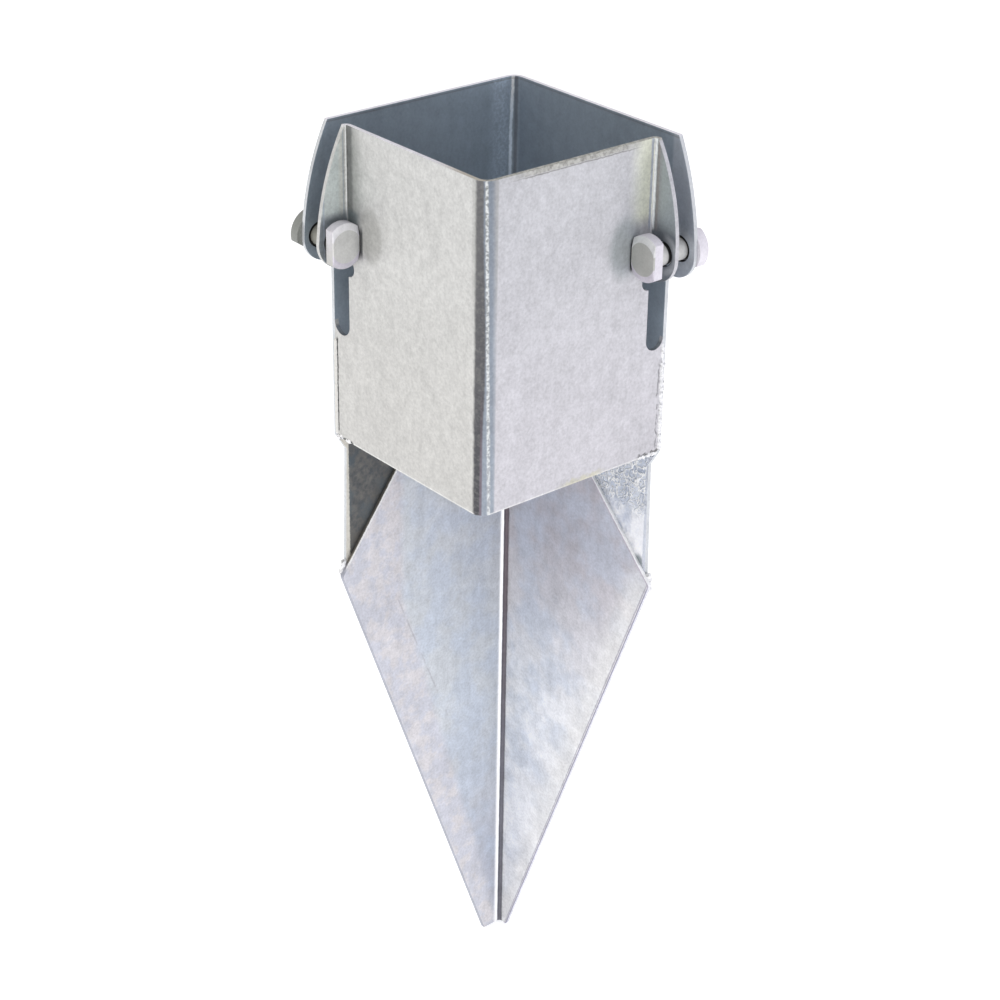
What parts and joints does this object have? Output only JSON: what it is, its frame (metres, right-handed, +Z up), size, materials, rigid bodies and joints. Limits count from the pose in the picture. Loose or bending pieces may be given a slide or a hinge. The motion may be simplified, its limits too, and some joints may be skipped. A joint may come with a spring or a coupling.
{
  "type": "post repair spike",
  "caption": "Folded steel clamping socket for a square timber post, with a V-shaped blade below its rear corner to drive in beside the old footing.",
  "frame": {"origin": "on the socket's upright axis, level with the socket's lower edge, which is the ground line of a driven spike", "axes": "+Z up along the post; the front corner of the square socket points to +X and -Y, and the rear corner, with the blade under it, to -X and +Y"},
  "size_m": [0.1322, 0.1293, 0.472],
  "materials": {
    "galvanised_sheet": "hot-dip zinc, mottled satin",
    "weld_bead": "zinc over a rough weld",
    "zinc_fastener": "dull cast-looking zinc"
  },
  "bodies": {
    "root": {"front_socket_half": "galvanised_sheet", "rear_socket_half": "galvanised_sheet", "spike_blade": "galvanised_sheet", "left_seam_weld": "weld_bead", "right_seam_weld": "weld_bead", "left_corner_weld": "weld_bead", "right_corner_weld": "weld_bead", "left_shoulder_weld": "weld_bead", "right_shoulder_weld": "weld_bead", "left_rear_weld": "weld_bead", "right_rear_weld": "weld_bead", "left_clamp_bolt": "zinc_fastener", "right_clamp_bolt": "zinc_fastener", "left_clamp_nut": "zinc_fastener", "right_clamp_nut": "zinc_fastener"}
  },
  "joints": []
}
